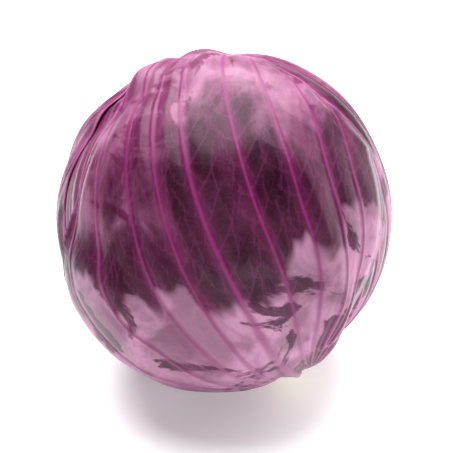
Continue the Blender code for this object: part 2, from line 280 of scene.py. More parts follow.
def leafPlace(leaf, directions):  # u and reach, also outside the leaf
    x, y, z = (directions @ turnOf(leaf)).T
    lowReach = np.degrees(np.arccos(np.clip(-z, -1.0, 1.0)))
    highReach = np.degrees(np.arctan2(x, -z)) % 360.0
    across = (y - leaf["bend"] * rise(highReach)) / np.maximum(spreadOverTop(highReach), 0.2)
    highLongitude = np.degrees(np.arcsin(np.clip(across, -1.0, 1.0)))
    reach = np.where(z < 0.0, lowReach, highReach)
    longitude = np.where(z < 0.0, np.degrees(np.arctan2(y, x)), highLongitude)
    return longitude / sideLongitude(leaf, longitude, reach), reach


def leafOutline(leaf):
    steps = head["outlineSteps"]
    sideReach = np.linspace(head["baseReach"], head["shoulderReach"], steps)
    across = np.linspace(-1.0, 1.0, 2 * steps)
    u = np.concatenate([np.full(steps, -1.0), across, np.full(steps, 1.0)])
    return leafDirections(leaf, u, np.concatenate([sideReach, tipReach(leaf, across), sideReach]))


def depthInside(leaf, directions, batch=8000):  # degrees from the nearest margin, negative outside
    u, reach = leafPlace(leaf, directions)
    outline = leafOutline(leaf).T
    pieces = np.array_split(directions, max(1, len(directions) // batch))
    nearest = np.concatenate([(piece @ outline).max(axis=1) for piece in pieces])
    nearest = np.degrees(np.arccos(np.clip(nearest, -1.0, 1.0)))
    return np.where((np.abs(u) < 1.0) & (reach < tipReach(leaf, u)), nearest, -nearest)


def marginLift(depth, reach):
    lift = head["marginLift"] * (1.0 - smoothStep(depth / head["liftBand"]))
    return lift * fadeIn(reach, head["liftStart"])


def bedSurface(directions, deeper):  # the heart with the deeper leaves on it
    bed = heartSurface(directions) + head["air"]
    for leaf in deeper:
        climb = smoothStep(1.0 + (depthInside(leaf, directions) + head["ledge"]) / head["ramp"])
        bed = bed + (head["blade"] + head["air"]) * climb
    return bed


def roomUnder(directions, outer):  # how far it may swell under the outer leaves
    room = np.full(len(directions), 1.0)
    for leaf in outer:
        depth = depthInside(leaf, directions)
        reach = leafPlace(leaf, directions)[1]
        inside = head["bumpShare"] * marginLift(depth, reach)
        outside = head["bumpShare"] * marginLift(0.0, reach) + head["roomSlope"] * np.maximum(-depth, 0.0)
        room = np.minimum(room, np.where(depth > 0.0, inside, outside))
    return room


def seatDistance():  # from the middle down to what the head rests on
    bed = bedSurface(downInHead[None, :], wrapperLeaves[:-2])[0]
    return bed + head["blade"] - head["seatTrim"]


def toWorld(points):
    return points @ headAxes + headMiddle


# Ribs and veins: routes over a leaf, each given as (u, reach, half width, height) along it.
# A row of the leaf is named by line, the reach that it has on the midrib.

ribs = {
    "midribHeight": (0.0020, 0.00030, 34.0),  # at the base, at the tip, and how fast it falls
    "midribHalf": (0.0046, 0.0011, 34.0),
    "sideHeight": (0.0009, 0.00022, 60.0),
    "sideHalf": (0.0017, 0.00085, 60.0),
    "midribShare": 0.50,
    "flankShare": 0.36,
    "steepness": 0.75,
    "routeSteps": 110,
    "ends": (1.0, 0.6),  # degrees past the base, and short of the tip
}
veins = {
    "spacing": 8.0,  # degrees between branches along a rib
    "jitter": 0.35,
    "start": 6.0,  # degrees from the base, and from the tip
    "shortOfTip": 0.8,
    "gapHeld": 120.0,  # reach past which gaps count as no narrower
    "branchPoints": 8,
    "bend": (0.85, 1.25),  # powers, across and up
    "sway": 0.03,
    "taper": 0.55,
    "across": (0.5, 0.3),  # share of the gap that a branch crosses, and its spread
    "marginExtra": 0.3,  # more of it in the strip at the margin
    "climb": 1.15,  # mm up for each mm across
    "climbRange": (0.8, 0.4),  # least share of that, and its spread
    "branch": (0.0010, 0.00012),  # half width and height
    "twigPoints": 5,
    "twigStarts": (2, 5),  # points of a branch that the twigs leave from
    "twigTurn": (0.1, 0.26),  # to either side, and its spread
    "twigRange": (0.7, 0.5),
    "twig": (0.0007, 0.00006),
    "seed": 40,
}


def fading(sizes, line):
    base, tip, fade = sizes
    return tip + (base - tip) * np.exp(-(line - head["baseReach"]) / fade)


def reachOn(leaf, line, u):  # the reach that a row has at u
    upper = (line - 90.0) / (leaf["tip"] - 90.0)
    return np.where(line < 90.0, line, 90.0 + (tipReach(leaf, u) - 90.0) * upper)


def widthPerU(leaf, sign, line):  # length across a leaf for a step of 1 in u
    arc = np.where(line < 90.0, sinDeg(line), spreadOverTop(line))
    return head["heartRadius"] * np.radians(sideLongitude(leaf, sign * np.ones_like(line), line)) * arc


def midribFlank(leaf, sign, line):  # share of a side that the midrib takes
    flank = fading(ribs["midribHalf"], line) / widthPerU(leaf, sign, line)
    return np.minimum(flank, ribs["midribShare"])


def ribPlace(leaf, sign, rib, line):  # u of a side rib's crest, where rib 0 is the midrib
    flank = midribFlank(leaf, sign, line)
    return sign * np.where(rib == 0.0, 0.0, flank + (1.0 - flank) * rib)


def ribRoutes(leaf):
    below, before = ribs["ends"]
    line = np.linspace(head["baseReach"] - below, leaf["tip"] - before, ribs["routeSteps"])
    routes = []
    for sign, places in zip((-1.0, 1.0), leaf["ribs"]):
        perU = widthPerU(leaf, sign, line)
        flank = midribFlank(leaf, sign, line)
        for nearer, rib, farther in zip((0.0, *places), places, (*places[1:], 1.0)):
            widest = ribs["flankShare"] * (1.0 - flank) * min(rib - nearer, farther - rib) * perU
            half = np.minimum(fading(ribs["sideHalf"], line), widest)
            height = np.minimum(fading(ribs["sideHeight"], line), ribs["steepness"] * half)
            u = ribPlace(leaf, sign, rib, line)
            routes.append((u, reachOn(leaf, line, u), half, height))
    half = np.minimum(fading(ribs["midribHalf"], line), ribs["midribShare"] * perU)
    height = np.minimum(fading(ribs["midribHeight"], line), ribs["steepness"] * half)
    routes.append((0.0 * line, reachOn(leaf, line, 0.0 * line), half, height))
    return routes


def lineAt(leaf, u, reach):  # the row of a place, past the tip where it is off the leaf
    upper = (reach - 90.0) / (tipReach(leaf, u) - 90.0)
    return np.where(reach < 90.0, reach, 90.0 + (leaf["tip"] - 90.0) * upper)


def betweenRibs(leaf, sign, nearer, farther, share, reach):  # u at a share of the gap, and the row
    line = reach
    for _ in range(3):  # the row depends on u in turn, and soon settles
        start = ribPlace(leaf, sign, nearer, line)
        u = start + share * (ribPlace(leaf, sign, farther, line) - start)
        line = lineAt(leaf, u, reach)
    return u, line


def drawAround(draw, middle, spread):
    return middle + spread * (draw.random() - 0.5)


def drawAbove(draw, least, spread):
    return least + spread * draw.random()


def addVein(routes, leaf, track, share, reach, size, thin):  # cut off where it would pass the tip
    u, line = betweenRibs(leaf, *track, share, reach)
    kept = line < leaf["tip"] - veins["shortOfTip"]
    if kept[:3].all():
        stop = len(kept) if kept.all() else int(np.argmin(kept))
        half, height = size
        routes.append((u[:stop], reach[:stop], half * thin[:stop], height * thin[:stop]))


def addBranch(routes, leaf, track, inward, reach, draw):  # a branch with its two twigs
    sign, nearer, farther = track
    along = np.linspace(0.0, 1.0, veins["branchPoints"])
    row = np.array([min(reach, veins["gapHeld"])])
    gap = abs(farther - nearer) * float(widthPerU(leaf, sign, row)[0])
    across = drawAround(draw, *veins["across"]) + veins["marginExtra"] * (farther == 1.0)
    climb = veins["climb"] * across * gap / degreeLength * drawAbove(draw, *veins["climbRange"])
    sway = veins["sway"] * np.sin(6.0 * along + 6.0 * draw.random()) * along
    bendAcross, bendUp = veins["bend"]
    share = across * along**bendAcross + sway
    share = 1.0 - share if inward else share
    climbed = reach + climb * along**bendUp
    addVein(routes, leaf, track, share, climbed, veins["branch"], 1.0 - veins["taper"] * along)
    along = np.linspace(0.0, 1.0, veins["twigPoints"])
    turn, spread = veins["twigTurn"]
    for side, start in zip((-1.0, 1.0), veins["twigStarts"]):
        twigShare = np.clip(share[start] + drawAround(draw, side * turn, spread) * along, 0.02, 0.98)
        twigReach = climbed[start] + veins["spacing"] * drawAbove(draw, *veins["twigRange"]) * along
        addVein(routes, leaf, track, twigShare, twigReach, veins["twig"], np.ones(len(along)))


def veinTracks(leaf):  # strips between ribs, branched from the inner rib, then from the outer one
    for sign, places in zip((-1.0, 1.0), leaf["ribs"]):
        for nearer, farther in zip((0.0, *places), (*places, 1.0)):
            yield (sign, nearer, farther), False
            if farther < 1.0:
                yield (sign, nearer, farther), True


def veinRoutes(leaf, draw):
    routes = []
    for track, inward in veinTracks(leaf):
        reach = head["baseReach"] + veins["start"] + veins["spacing"] * draw.random()
        while reach < leaf["tip"] - veins["start"]:
            addBranch(routes, leaf, track, inward, reach, draw)
            reach += veins["spacing"] * drawAround(draw, 1.0, veins["jitter"])
    return routes


# Leaf blades

blades = {
    "start": 12.6,  # reach of the base, close against the stump
    "thin": 0.0005,  # thickness at the margin
    "hug": 0.00105,  # how far the margin bends down to the leaf below
    "hugBand": 7.0,
    "thickBand": 12.0,  # degrees from the margin to full thickness
    "waveSize": 0.00025,
    "waveStart": 20.0,  # reach from which it waves and bends down
    "liftShare": 0.2,
    "ripple": 0.3,  # degrees, along the margin
    "ripplePeriods": (3.1, 1.3),  # along the sides
    "rippleWaves": (17.0, 39.0),  # over the tip
    "rippleStart": (35.0, 25.0),  # reach, and degrees to its full size
    "rippleEdge": 14,  # power that keeps the ripple at the margin
    "rimShare": 0.4,  # of the ribs' height
    "widthHeld": 150.0,  # reach past which the finish takes it as no narrower
    "quilt": (0.00048, 0.0042),  # height and reach of the swelling between ribs
    "pucker": (0.00007, 0.0013),  # and between veins
    "toneSeed": 64,
}


def slowWaves(directions, phase):  # about -1 to 1, and 20 mm or so long
    x, y, z = directions.T
    first = np.sin(13.0 * x + 4.0 * y + phase) + np.sin(11.0 * y - 7.0 * z + 2.0 * phase)
    return (first + np.sin(12.0 * z + 6.0 * x + 3.0 * phase)) / 3.0


def bladeSurfaces(leaf, directions, reach):  # inner and outer distances, and the room left outside
    index = wrapperLeaves.index(leaf)
    depth = depthInside(leaf, directions)
    room = roomUnder(directions, wrapperLeaves[index + 1 :])
    waves = slowWaves(directions, leaf["phase"])
    lift = np.minimum(marginLift(depth, reach), room) * blades["liftShare"] * (1.0 + waves)
    away = fadeIn(reach, blades["waveStart"])
    hug = blades["hug"] * (1.0 - smoothStep(depth / blades["hugBand"])) * away
    inner = bedSurface(directions, wrapperLeaves[:index]) + lift - hug
    inner = inner + blades["waveSize"] * waves * np.minimum(room / head["air"], 1.0) * away
    full = smoothStep(depth / blades["thickBand"])
    thickness = blades["thin"] + (head["blade"] - blades["thin"]) * full
    ground = seatDistance() / np.maximum(directions @ downInHead, head["seatCone"])
    outer = np.minimum(inner + thickness, ground)
    inner = np.minimum(inner, outer - blades["thin"])
    room = np.minimum(room, ground - outer)
    return inner, outer, room, depth


def ribTracks(leaf, line):  # u of the margins and of the ribs, from left to right, for each row
    left = [ribPlace(leaf, -1.0, rib, line) for rib in (1.0, *reversed(leaf["ribs"][0]))]
    right = [ribPlace(leaf, 1.0, rib, line) for rib in (*leaf["ribs"][1], 1.0)]
    return np.array([*left, 0.0 * line, *right]).T


def bladeColumns(leaf, count):  # where these, and all the columns, cross the widest row
    knots = ribTracks(leaf, np.array([90.0]))[0]
    parts = []
    for low, high in zip(knots, knots[1:]):
        steps = max(4, round(count * (high - low) / 2.0))
        parts.append(np.linspace(low, high, steps, endpoint=False))
    return knots, np.append(np.concatenate(parts), knots[-1])


def rippleOf(leaf, slow, fast):
    return blades["ripple"] * (np.sin(slow + leaf["phase"]) + 0.5 * np.sin(fast + 5.0 * leaf["phase"]))


def bladeGrid(leaf):
    rows, columns = leaf["grid"]
    knots, places = bladeColumns(leaf, columns)
    line = np.linspace(blades["start"], leaf["tip"], rows)
    u = np.array([np.interp(places, knots, track) for track in ribTracks(leaf, line)])
    line = np.repeat(line[:, None], u.shape[1], axis=1)
    reach = reachOn(leaf, line, u)
    long, short = blades["ripplePeriods"]
    side = rippleOf(leaf, reach / long, reach / short) / sideLongitude(leaf, u, reach)
    start, band = blades["rippleStart"]
    side = side * smoothStep((reach - start) / band)
    few, many = blades["rippleWaves"]
    top = rippleOf(leaf, few * u, many * u) * (1.0 - np.abs(u) ** 4)
    upper = np.clip((line - 90.0) / (leaf["tip"] - 90.0), 0.0, 1.0)
    edge = blades["rippleEdge"]
    return u * (1.0 + side * np.abs(u) ** edge), reach + top * upper**edge


def laneTones(leaf):  # -1 to 1 for each strip between two ribs, given at every column
    knots, places = bladeColumns(leaf, leaf["grid"][1])
    draw = np.random.default_rng(blades["toneSeed"] + int(leaf["turn"]))
    tones = draw.uniform(-1.0, 1.0, len(knots) - 1)
    return tones[np.searchsorted(knots[1:-1], places, side="right")]


def rimOf(rows, columns):  # grid points round the edge, turning left as seen from outside
    grid = np.arange(rows * columns).reshape(rows, columns)
    return np.concatenate([grid[0], grid[1:, -1], grid[-1, -2::-1], grid[-2:0:-1, 0]])


def newObject(name, data):
    made = bpy.data.objects.new(name, data)
    bpy.context.scene.collection.objects.link(made)
    return made


def meshObject(name, points, edges, faces, **attributes):  # points in the head's frame
    mesh = bpy.data.meshes.new(name)
    mesh.from_pydata(toWorld(points).tolist(), edges, faces)
    for label, values in attributes.items():
        values = np.asarray(values, dtype=np.float32)
        kind, field = ("FLOAT", "value") if values.ndim == 1 else ("FLOAT_VECTOR", "vector")
        mesh.attributes.new(label, kind, "POINT").data.foreach_set(field, values.ravel())
    return newObject(name, mesh)


def bladeObject(leaf):  # a closed blade: two faces and a rounded rim
    u, reach = bladeGrid(leaf)
    rows, columns = u.shape
    directions = leafDirections(leaf, u.ravel(), reach.ravel())
    inner, outer, room, depth = bladeSurfaces(leaf, directions, reach.ravel())
    rim = rimOf(rows, columns)
    ahead = directions[np.roll(rim, -1)] - directions[np.roll(rim, 1)]
    outwards = np.cross(ahead, directions[rim])
    outwards /= np.linalg.norm(outwards, axis=1)[:, None]
    half = (outer - inner)[rim, None] / 2
    middle = directions[rim] * ((outer + inner)[rim, None] / 2) + outwards * half
    points = np.concatenate([directions * outer[:, None], directions * inner[:, None], middle])
    corner = (np.arange(rows - 1)[:, None] * columns + np.arange(columns - 1)).ravel()
    front = np.stack([corner, corner + 1, corner + columns + 1, corner + columns], axis=1)
    back = front[:, ::-1] + rows * columns
    edge = 2 * rows * columns + np.arange(len(rim))
    after = np.roll(np.arange(len(rim)), -1)
    under = rim + rows * columns
    lower = np.stack([under, under[after], edge[after], edge], axis=1)
    upper = np.stack([edge, edge[after], rim[after], rim], axis=1)
    faces = np.concatenate([front, back, lower, upper]).tolist()
    face = np.arange(rows * columns)
    spread = np.concatenate([face, face, rim])  # the place on the leaf of each point
    places = toWorld(directions * outer[:, None])
    across = u * widthPerU(leaf, np.sign(u), np.minimum(reach, blades["widthHeld"]))
    up = np.radians(reach) * head["heartRadius"]
    return meshObject(
        leaf["name"] + "_fine",
        points,
        [],
        faces,
        outward=(directions @ headAxes)[spread],
        facePlace=places[spread],
        faceShare=np.repeat([1.0, 0.0, blades["rimShare"]], [len(face), len(face), len(rim)]),
        room=np.maximum(room, 0.0)[spread],
        depth=depth[spread],
        reach=reach.ravel()[spread],
        laneTone=np.tile(laneTones(leaf), rows)[spread],
        leafPlace=np.stack([across.ravel(), up.ravel(), 0.0 * up.ravel()], axis=1)[spread],
    )


def routeObject(routes, surface):  # edges along the routes, with each point's width and height
    directions, halves, heights = [np.concatenate(part) for part in zip(*routes)]
    edges, count = [], 0
    for _, half, _ in routes:
        edges += [(point, point + 1) for point in range(count, count + len(half) - 1)]
        count += len(half)
    points = directions * surface(directions)[:, None]
    return meshObject("lines", points, edges, [], halfWidth=halves, crest=heights)


def leafRoutes(leaf, routes):
    placed = [(leafDirections(leaf, u, reach), half, height) for u, reach, half, height in routes]
    reach = np.concatenate([route[1] for route in routes])
    return routeObject(placed, lambda directions: bladeSurfaces(leaf, directions, reach)[1])


# The tree that raises ribs and veins on a blade

def startTree(name, inputs):  # a geometry tree with named inputs
    tree = bpy.data.node_groups.new(name, "GeometryNodeTree")
    for label, kind in {"Geometry": "Geometry", **inputs, "Material": "Material"}.items():
        tree.interface.new_socket(name=label, in_out="INPUT", socket_type="NodeSocket" + kind)
    tree.interface.new_socket(name="Geometry", in_out="OUTPUT", socket_type="NodeSocketGeometry")
    graph = Graph(tree)
    return graph, graph.add("NodeGroupInput")


def ridge(graph, routes, place):  # distance from the nearest route, share of its crest, and height
    sockets = {0: routes, "Sample Position": place}
    distance = graph.add("GeometryNodeProximity", sockets, "Distance", target_element="EDGES")
    index = graph.add("GeometryNodeSampleNearest", {"Geometry": routes, "Sample Position": place})
    found = []
    for name in ("halfWidth", "crest"):
        sockets = {"Geometry": routes, "Value": graph.named(name), "Index": index}
        found.append(graph.add("GeometryNodeSampleIndex", sockets, data_type="FLOAT"))
    halfWidth, crest = found
    profile = distance.ramp(0.0, halfWidth, 1.0, 0.0)
    return distance, profile, profile * crest


def ridgeTree():
    sizes = dict.fromkeys(("Quilt Height", "Quilt Reach", "Pucker Height", "Pucker Reach"), "Float")
    graph, given = startTree("ribsAndVeins", {"Ribs": "Object", "Veins": "Object", **sizes})
    place, outward = graph.named("facePlace", "FLOAT_VECTOR"), graph.named("outward", "FLOAT_VECTOR")
    share, room = graph.named("faceShare"), graph.named("room")
    ribLines = graph.add("GeometryNodeObjectInfo", {"Object": given["Ribs"]}, "Geometry")
    veinLines = graph.add("GeometryNodeObjectInfo", {"Object": given["Veins"]}, "Geometry")
    ribDistance, ribMask, ribRise = ridge(graph, ribLines, place)
    veinDistance, veinMask, veinRise = ridge(graph, veinLines, place)
    quilt = ribDistance.ramp(0.0, given["Quilt Reach"]) * given["Quilt Height"]
    pucker = veinDistance.ramp(0.0, given["Pucker Reach"]) * given["Pucker Height"]
    swelling = (quilt + pucker * ribDistance.ramp(0.0, 0.002)).math("MINIMUM", room)
    crest = (ribRise.math("MAXIMUM", veinRise) + swelling).math("MINIMUM", room)
    raised = crest * share + swelling * (1.0 - share)
    offset = graph.add("ShaderNodeVectorMath", {0: outward, "Scale": raised}, operation="SCALE")
    shape = graph.add("GeometryNodeSetPosition", {"Geometry": given["Geometry"], "Offset": offset})
    for name, value in (("ribMask", ribMask), ("veinMask", veinMask), ("ribDistance", ribDistance)):
        shape = graph.store(shape, name, value)
    return graph.end(shape, given["Material"])


def applyTree(piece, tree, values):  # the evaluated result replaces the piece's mesh
    modifier = piece.modifiers.new("made", "NODES")
    modifier.node_group = tree
    for item in tree.interface.items_tree:
        if item.in_out == "INPUT" and item.name in values:
            modifier[item.identifier] = values[item.name]
    evaluated = piece.evaluated_get(bpy.context.evaluated_depsgraph_get())
    mesh = bpy.data.meshes.new_from_object(evaluated)
    piece.modifiers.remove(modifier)
    piece.data = mesh
    mesh.shade_smooth()


def raiseRidges(piece, tree, ribLines, veinLines, sizes, skin):  # on a leaf or on the heart
    values = {"Ribs": ribLines, "Veins": veinLines, "Material": skin}
    values["Quilt Height"], values["Quilt Reach"] = sizes["quilt"]
    values["Pucker Height"], values["Pucker Reach"] = sizes["pucker"]
    applyTree(piece, tree, values)
    bpy.data.objects.remove(ribLines)
    bpy.data.objects.remove(veinLines)


# Finishes

leafFinish = {
    "plum": (0.011, 0.0008, 0.0045, 1.0),
    "purple": (0.120, 0.011, 0.058, 1.0),
    "rib": (0.215, 0.020, 0.125, 1.0),
    "paleRib": (0.560, 0.270, 0.430, 1.0),
    "vein": (0.240, 0.035, 0.150, 1.0),
    # lavender of the bloom, also used for the painted reflections of the floor and of the top light
    "bloom": (0.450, 0.225, 0.350, 1.0),
    "edge": (0.420, 0.100, 0.290, 1.0),
    "roughness": (0.27, 0.50),  # of bare leaf and of bloom
    "sheenTint": (1.0, 0.70, 0.90, 1.0),
    "patches": (55.0, 4.0, 0.55, 0.6),  # noises: scale, detail, roughness and distortion
    "broad": (26.0, 2.0, 0.5, 0.4),
    "streaks": (420.0, 4.0, 0.6),
    "lanes": (110.0, 2.0, 0.5),
    "fine": (900.0, 3.0, 0.6),
    "rubbed": (42.0, 5.0, 0.62, 1.4),  # where the bloom has come off
    "rubbedEdge": (0.52, 0.58),
    "rubbedShare": 0.88,  # of the bloom, and of the painted reflections on it
    "cells": 520.0,
    "lowBloom": (71.0, 79.0),  # reach over which the bloom and the painted reflection of the floor end near the base
    "highBloom": (114.0, 146.0),  # and over which bloom and a painted highlight of the top light come back towards the apex
    "leftRise": 600.0,  # degrees higher that the painted floor reflection ends for each metre to the left
    "bareBloom": 0.08,
}


def newMaterial(name):
    made = bpy.data.materials.new(name)
    made.use_nodes = True
    made.node_tree.nodes.clear()
    return made, Graph(made.node_tree)


def endMaterial(graph, sockets):
    shader = graph.add("ShaderNodeBsdfPrincipled", sockets)
    graph.add("ShaderNodeOutputMaterial", {"Surface": shader})


def leafMaterial(name, bloomAndReflectionShare):
    finish = leafFinish
    made, graph = newMaterial(name)
    place = graph.add("ShaderNodeTexCoord", {}, "Object")
    along = graph.squeezed(graph.attribute("leafPlace", "Vector"), (1.0, 0.22, 1.0))
    names = ("ribMask", "ribDistance", "veinMask", "laneTone", "depth", "reach")
    ribMask, ribDistance, veinMask, laneTone, depth, reach = map(graph.attribute, names)
    patches = graph.noise(place, *finish["patches"])
    broad = graph.noise(place, *finish["broad"])
    streaks = graph.noise(along, *finish["streaks"])
    lanes = graph.noise(graph.squeezed(along, (1.0, 0.35, 1.0)), *finish["lanes"])
    fine = graph.noise(place, *finish["fine"])
    rubbed = graph.noise(place, *finish["rubbed"]).ramp(*finish["rubbedEdge"])
    sockets = {"Vector": place, "Scale": finish["cells"], "Randomness": 0.9}
    cells = graph.add("ShaderNodeTexVoronoi", sockets, "Distance", feature="DISTANCE_TO_EDGE")
    net = cells.ramp(0.0, 0.10, 1.0, 0.0)

    # Where the bloom and the painted reflections end is uneven, and steps at each rib
    uneven = (broad - 0.5) * 60.0 + (patches - 0.5) * 30.0 + (lanes - 0.5) * 40.0 + laneTone * 9.0
    leftward = graph.add("ShaderNodeSeparateXYZ", {"Vector": along}).math("MINIMUM", 0.0)
    # painted reflection of the pale floor, with some bloom, over the lower leaves
    lower = (reach + uneven + leftward * finish["leftRise"]).ramp(*finish["lowBloom"], 1.0, 0.0)
    # painted highlight of the top light, with some bloom, towards the apex
    upper = (reach + uneven).ramp(*finish["highBloom"])

    # Bare leaf, plum to purple, and purpler towards the apex as a painted highlight of the top light
    mottleAndTopHighlight = patches.ramp(0.42, 0.74) * 0.18 + streaks.ramp(0.3, 0.7) * 0.08 + lanes.ramp(0.45, 0.68) * 0.24
    mottleAndTopHighlight = mottleAndTopHighlight + upper * 0.5 + laneTone * 0.10
    body = graph.mix(mottleAndTopHighlight, finish["plum"], finish["purple"])
    body = graph.mix(net * 0.06, body, finish["vein"])
    body = graph.mix(ribDistance.ramp(0.0, 0.0032, 0.4, 0.0), body, finish["purple"])

    # Bloom on it, with painted reflections: of the pale floor near the base and of the top light near the
    # apex
    bloomAndReflectionMask = (patches.ramp(0.30, 0.75) * 0.6 + streaks.ramp(0.35, 0.75) * 0.15) * (1.0 - ribMask * 0.5)
    # lavender of the painted floor reflection, partly bloom, near the base
    floorReflectionAndBloom = lower * (0.36 + patches.ramp(0.38, 0.60) * 0.38 - laneTone * 0.15) * (1.0 - ribMask * 0.6)
    bloomAndReflectionMask = bloomAndReflectionMask * (upper + finish["bareBloom"]) * bloomAndReflectionShare + floorReflectionAndBloom
    bloomAndReflectionMask = bloomAndReflectionMask * (1.0 - rubbed * finish["rubbedShare"])
    body = graph.mix(bloomAndReflectionMask, body, finish["bloom"])

    # Veins, ribs, the pale base and the margin
    body = graph.mix(veinMask.ramp(0.3, 1.0) * 0.15, body, finish["vein"])
    ribColour = graph.mix(reach.ramp(15.0, 82.0, 1.0, 0.0), finish["rib"], finish["paleRib"])
    # ribs show less where the painted floor reflection lies
    ribShare = (0.42 + patches * 0.45) * reach.ramp(105.0, 160.0, 1.0, 0.7) * (1.0 - lower * 0.42)
    body = graph.mix(ribMask.ramp(0.3, 1.0) * ribShare, body, ribColour)
    body = graph.mix(reach.ramp(12.0, 26.0, 0.75, 0.0), body, finish["paleRib"])
    body = graph.mix(depth.ramp(0.0, 1.3, 0.55, 0.0), body, finish["edge"])

    bare, dull = finish["roughness"]
    height = net * 0.15 + fine * 0.1 + streaks * 0.1 + veinMask * 0.15
    sockets = {
        "Base Color": body,
        "Roughness": bare + (dull - bare) * bloomAndReflectionMask + fine * 0.06,
        "Normal": graph.add("ShaderNodeBump", {"Strength": 0.22, "Distance": 0.0002, "Height": height}),
        "IOR": 1.45,
        "Specular IOR Level": 0.15,
        "Specular Tint": finish["sheenTint"],
        "Coat Weight": 0.04,
        "Coat Roughness": 0.15,
        "Subsurface Weight": 0.06,
        "Subsurface Radius": (0.6, 0.2, 0.35),
        "Subsurface Scale": 0.001,
    }
    endMaterial(graph, sockets)
    return made


def makeLeaf(leaf, tree):
    draw = np.random.default_rng(veins["seed"] + int(leaf["turn"]))
    piece = bladeObject(leaf)
    ribLines = leafRoutes(leaf, ribRoutes(leaf))
    veinLines = leafRoutes(leaf, veinRoutes(leaf, draw))
    skin = leafMaterial(leaf["name"] + "_skin", leaf["bloom"])
    raiseRidges(piece, tree, ribLines, veinLines, blades, skin)
    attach(piece, "root")
    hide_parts(leaf["name"])
    print(leaf["name"], len(piece.data.polygons), "faces")


ridges = ridgeTree()
for leaf in wrapperLeaves:
    makeLeaf(leaf, ridges)


# The heart: the head of tightly folded inner leaves, with the margins of its outer ones in relief

heart = {
    "ribs": 14,
    "rows": 150,
    "columnsEach": 20,
    "ribHalf": 0.0011,
    "ribHeight": (0.0009, 0.0005, 70.0),
    "ribWidest": 0.3,  # share of the gap between two ribs
    "ribReach": (10.0, 176.0, 90),  # from, to, and how many points
    "twist": 9.0,
    "foldStep": 0.0005,
    "foldBand": 1.4,
    "branchReach": (24.0, 160.0),
    "branchSpacing": 7.0,
    "branchPoints": 7,
    "branchClimb": 13.0,
    "branchAcross": 0.6,
    "quilt": (0.0003, 0.004),
    "pucker": (0.0001, 0.0013),
    # share of bloom, and of painted highlight of the top light
    "bloom": 0.34,
    "seed": 7,
}
foldedLeaves = [
    dict(turn=40.0, widths=(64.0, 70.0), tip=176.0, pinches=(0.2, 0.2), bend=0.1, phase=0.9),
    dict(turn=262.0, widths=(70.0, 62.0), tip=183.0, pinches=(0.2, 0.2), bend=-0.1, phase=2.6),
]


def heartLongitude(rib, reach):
    return 360.0 / heart["ribs"] * rib + heart["twist"] * sinDeg(reach)


def foldedHeart(directions):  # its surface, and degrees inside the nearest folded margin
    surface, inside = heartSurface(directions), np.full(len(directions), 90.0)
    for fold in foldedLeaves:
        depth = depthInside(fold, directions)
        surface = surface - heart["foldStep"] * (1.0 - smoothStep(0.5 + depth / heart["foldBand"]))
        inside = np.where(depth > 0.0, np.minimum(inside, depth), inside)
    return surface, inside


def heartDistance(directions):
    return foldedHeart(directions)[0]


def closedRings(rows, count):  # faces between rings, and fans to the two points after them
    start = np.arange(rows - 1)[:, None] * count
    here, after = np.arange(count), np.roll(np.arange(count), -1)
    sides = [start + here, start + after, start + count + after, start + count + here]
    faces = np.stack([side.ravel() for side in sides], axis=1).tolist()
    last = (rows - 1) * count
    pairs = np.stack([here, after], axis=1).tolist()
    faces += [(last + count, b, a) for a, b in pairs]
    faces += [(last + count + 1, last + a, last + b) for a, b in pairs]
    return faces


def heartObject():
    count = heart["ribs"] * heart["columnsEach"]
    reach = np.linspace(0.0, 180.0, heart["rows"] + 2)[1:-1]
    reach, rib = np.meshgrid(reach, np.arange(count) / heart["columnsEach"], indexing="ij")
    directions = aroundHead(heartLongitude(rib, reach).ravel(), reach.ravel())
    directions = np.concatenate([directions, [[0.0, 0.0, -1.0], [0.0, 0.0, 1.0]]])
    surface, inside = foldedHeart(directions)
    points = directions * surface[:, None]
    return meshObject(
        "heart_fine",
        points,
        [],
        closedRings(heart["rows"], count),
        outward=directions @ headAxes,
        facePlace=toWorld(points),
        faceShare=np.ones(len(points)),
        room=roomUnder(directions, wrapperLeaves),
        depth=inside,
        reach=np.append(reach.ravel(), [0.0, 180.0]),
        leafPlace=directions * head["heartRadius"],
    )


def heartRoutes(draw):
    ribLines, veinLines = [], []
    reach = np.linspace(*heart["ribReach"])
    along = np.linspace(0.0, 1.0, heart["branchPoints"])
    thin = 1.0 - 0.5 * along
    spacing = 360.0 / heart["ribs"]
    first, last = heart["branchReach"]
    for rib in range(heart["ribs"]):
        widest = heart["ribWidest"] * np.radians(spacing) * head["heartRadius"] * sinDeg(reach)
        half = np.minimum(heart["ribHalf"], widest)
        height = fading(heart["ribHeight"], reach) * fadeIn(reach, head["baseReach"])
        ribLines.append((aroundHead(heartLongitude(rib, reach), reach), half, height))
        for side in (-1.0, 1.0):
            start = first + heart["branchSpacing"] * draw.random()
            while start < last:
                climbed = start + heart["branchClimb"] * max(float(sinDeg(start)), 0.3) * along**1.2
                longitude = heartLongitude(rib + side * heart["branchAcross"] * along, climbed)
                sizes = [size * thin for size in veins["branch"]]
                veinLines.append((aroundHead(longitude, climbed), *sizes))
                start += heart["branchSpacing"] * drawAbove(draw, 0.8, 0.4)
    return ribLines, veinLines


def makeHeart(tree):
    piece = heartObject()
    routes = heartRoutes(np.random.default_rng(heart["seed"]))
    ribLines, veinLines = [routeObject(lines, heartDistance) for lines in routes]
    skin = leafMaterial("heart_skin", heart["bloom"])
    raiseRidges(piece, tree, ribLines, veinLines, heart, skin)
    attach(piece, "root")
    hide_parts("heart")
    print("heart", len(piece.data.polygons), "faces")


makeHeart(ridges)


# The stump: a lobed stalk, cut across, with a ring of vessel bundles in the cut face

